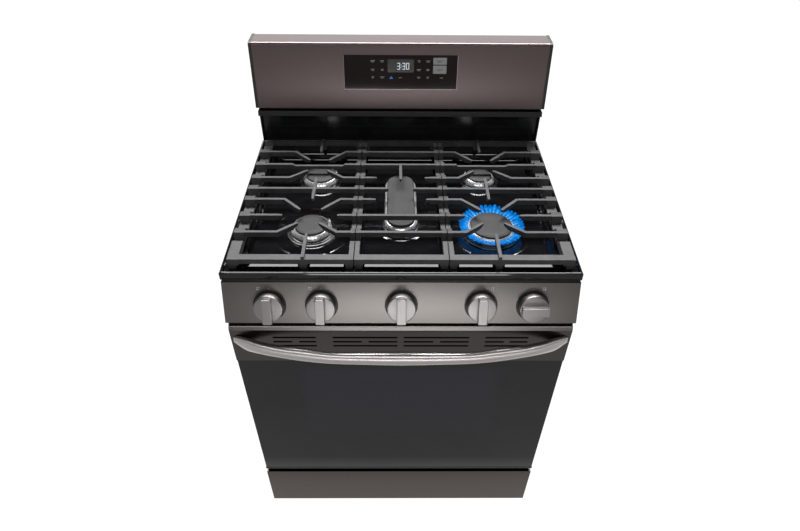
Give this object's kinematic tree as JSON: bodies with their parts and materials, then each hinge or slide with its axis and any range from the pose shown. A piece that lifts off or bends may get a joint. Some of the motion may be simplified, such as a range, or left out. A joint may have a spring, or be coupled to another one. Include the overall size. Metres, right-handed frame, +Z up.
{
  "type": "freestanding gas range",
  "caption": "Freestanding gas range in dark brushed steel with cast grates, slanted knob panel, bowed handle, drop-down oven door, lower drawer and a rear backguard with a touch control.",
  "frame": {"origin": "on the floor, in the middle of the bounding box", "axes": "+X right seen from the front, +Y to the wall behind (the front faces -Y), +Z up"},
  "size_m": [0.759, 0.735, 1.202],
  "materials": {
    "black_stainless": "dark brushed, satin",
    "satin_steel": "satin, slightly warm grey",
    "dark_paint": "satin black paint",
    "frame_paint": "matt black paint",
    "galvanised": "zinc coated, dull",
    "black_enamel": "gloss black enamel",
    "oven_enamel": "speckled blue-black enamel",
    "cap_enamel": "matt enamel",
    "cast_iron": "matt enamelled casting",
    "aluminium": "machined, bright",
    "cast_alloy": "as cast, dull",
    "steel_tube": "drawn tube",
    "screw_steel": "zinc plated",
    "brass": "turned, satin",
    "chrome_wire": "bright plated",
    "foot_plastic": "moulded, matt",
    "black_plastic": "moulded, satin",
    "gasket": "woven glass fibre",
    "insulation": "glass fibre blanket",
    "lamp_glass": "frosted",
    "ceramic": "unglazed white",
    "control_glass": "gloss, tinted brown-black",
    "board": "circuit board",
    "door_glass": "gloss, dark tint",
    "clear_glass": "clear, slightly tinted"
  },
  "bodies": {
    "body": {"side_panels": "dark_paint", "rear_cover": "galvanised", "base_frame": "galvanised", "leveling_feet": "foot_plastic", "cooktop": "black_enamel", "control_panel": "black_stainless", "knob_bezels": "black_plastic", "oven_cavity": "oven_enamel", "oven_front_frame": "oven_enamel", "oven_gasket": "gasket", "oven_insulation": "insulation", "oven_floor": "oven_enamel", "bake_burner": "steel_tube", "broil_burner": "steel_tube", "oven_lamp": "lamp_glass", "gas_manifold": "steel_tube", "pressure_regulator": "cast_alloy", "burner_valves": "brass", "burner_tubes": "aluminium", "burner_bases": "cast_alloy", "burner_heads": "aluminium", "igniters": "ceramic", "backguard_housing": "dark_paint", "backguard_panel": "black_stainless", "control_glass": "control_glass", "control_board": "board", "vent_trim": "black_enamel", "hinge_receivers": "galvanised", "drawer_rails": "galvanised", "screws": "screw_steel"},
    "door": {"door_trim": "black_stainless", "door_glass_outer": "door_glass", "door_frame": "frame_paint", "door_liner": "oven_enamel", "door_glass_inner": "clear_glass", "door_handle": "satin_steel", "door_hinges": "screw_steel"},
    "drawer": {"drawer_front": "black_stainless", "drawer_box": "galvanised"},
    "upper_rack": {"upper_rack": "chrome_wire"},
    "lower_rack": {"lower_rack": "chrome_wire"},
    "grate_left": {"grate_left": "cast_iron"},
    "grate_center": {"grate_center": "cast_iron"},
    "grate_right": {"grate_right": "cast_iron"},
    "cap_front_left": {"cap_front_left": "cap_enamel"},
    "cap_back_left": {"cap_back_left": "cap_enamel"},
    "cap_front_right": {"cap_front_right": "cap_enamel"},
    "cap_back_right": {"cap_back_right": "cap_enamel"},
    "cap_center": {"cap_center": "cap_enamel"},
    "valve_stem_1": {"valve_stem_1": "brass"},
    "knob_1": {"knob_1": "satin_steel"},
    "valve_stem_2": {"valve_stem_2": "brass"},
    "knob_2": {"knob_2": "satin_steel"},
    "valve_stem_3": {"valve_stem_3": "brass"},
    "knob_3": {"knob_3": "satin_steel"},
    "valve_stem_4": {"valve_stem_4": "brass"},
    "knob_4": {"knob_4": "satin_steel"},
    "valve_stem_5": {"valve_stem_5": "brass"},
    "knob_5": {"knob_5": "satin_steel"}
  },
  "joints": [
    {"name": "door_hinge", "type": "hinge", "parent": "body", "child": "door", "pos_m": [0, -0.28, 0.232], "axis": [1, 0, 0], "range_deg": [0, 90], "stiffness_Nm_per_rad": 12, "springref_deg": -17.19},
    {"name": "drawer_slide", "type": "slide", "parent": "body", "child": "drawer", "axis": [0, -1, 0], "range_m": [0, 0.4]},
    {"name": "upper_rack_slide", "type": "slide", "parent": "body", "child": "upper_rack", "axis": [0, -1, 0], "range_m": [0, 0.025]},
    {"name": "lower_rack_slide", "type": "slide", "parent": "body", "child": "lower_rack", "axis": [0, -1, 0], "range_m": [0, 0.025]},
    {"name": "grate_left_lift", "type": "slide", "parent": "body", "child": "grate_left", "axis": [0, 0, 1], "range_m": [0, 0.08]},
    {"name": "grate_center_lift", "type": "slide", "parent": "body", "child": "grate_center", "axis": [0, 0, 1], "range_m": [0, 0.08]},
    {"name": "grate_right_lift", "type": "slide", "parent": "body", "child": "grate_right", "axis": [0, 0, 1], "range_m": [0, 0.08]},
    {"name": "cap_front_left_lift", "type": "slide", "parent": "body", "child": "cap_front_left", "axis": [0, 0, 1], "range_m": [0, 0.01]},
    {"name": "cap_back_left_lift", "type": "slide", "parent": "body", "child": "cap_back_left", "axis": [0, 0, 1], "range_m": [0, 0.01]},
    {"name": "cap_front_right_lift", "type": "slide", "parent": "body", "child": "cap_front_right", "axis": [0, 0, 1], "range_m": [0, 0.01]},
    {"name": "cap_back_right_lift", "type": "slide", "parent": "body", "child": "cap_back_right", "axis": [0, 0, 1], "range_m": [0, 0.01]},
    {"name": "cap_center_lift", "type": "slide", "parent": "body", "child": "cap_center", "axis": [0, 0, 1], "range_m": [0, 0.01]},
    {"name": "knob_1_push", "type": "slide", "parent": "body", "child": "valve_stem_1", "axis": [0, 0.9408, -0.3389], "range_m": [0, 0.003], "stiffness_N_per_m": 1500, "springref_m": -0.002},
    {"name": "knob_1_turn", "type": "hinge", "parent": "valve_stem_1", "child": "knob_1", "pos_m": [-0.2785, -0.29256, 0.8672], "axis": [0, -0.9408, 0.3389], "range_deg": [0, 240]},
    {"name": "knob_2_push", "type": "slide", "parent": "body", "child": "valve_stem_2", "axis": [0, 0.9408, -0.3389], "range_m": [0, 0.003], "stiffness_N_per_m": 1500, "springref_m": -0.002},
    {"name": "knob_2_turn", "type": "hinge", "parent": "valve_stem_2", "child": "knob_2", "pos_m": [-0.169, -0.29256, 0.8672], "axis": [0, -0.9408, 0.3389], "range_deg": [0, 240]},
    {"name": "knob_3_push", "type": "slide", "parent": "body", "child": "valve_stem_3", "axis": [0, 0.9408, -0.3389], "range_m": [0, 0.003], "stiffness_N_per_m": 1500, "springref_m": -0.002},
    {"name": "knob_3_turn", "type": "hinge", "parent": "valve_stem_3", "child": "knob_3", "pos_m": [0, -0.29256, 0.8672], "axis": [0, -0.9408, 0.3389], "range_deg": [0, 240]},
    {"name": "knob_4_push", "type": "slide", "parent": "body", "child": "valve_stem_4", "axis": [0, 0.9408, -0.3389], "range_m": [0, 0.003], "stiffness_N_per_m": 1500, "springref_m": -0.002},
    {"name": "knob_4_turn", "type": "hinge", "parent": "valve_stem_4", "child": "knob_4", "pos_m": [0.169, -0.29256, 0.8672], "axis": [0, -0.9408, 0.3389], "range_deg": [0, 240]},
    {"name": "knob_5_push", "type": "slide", "parent": "body", "child": "valve_stem_5", "axis": [0, 0.9408, -0.3389], "range_m": [0, 0.003], "stiffness_N_per_m": 1500, "springref_m": -0.002},
    {"name": "knob_5_turn", "type": "hinge", "parent": "valve_stem_5", "child": "knob_5", "pos_m": [0.2785, -0.29256, 0.8672], "axis": [0, -0.9408, 0.3389], "range_deg": [-90, 150]}
  ]
}
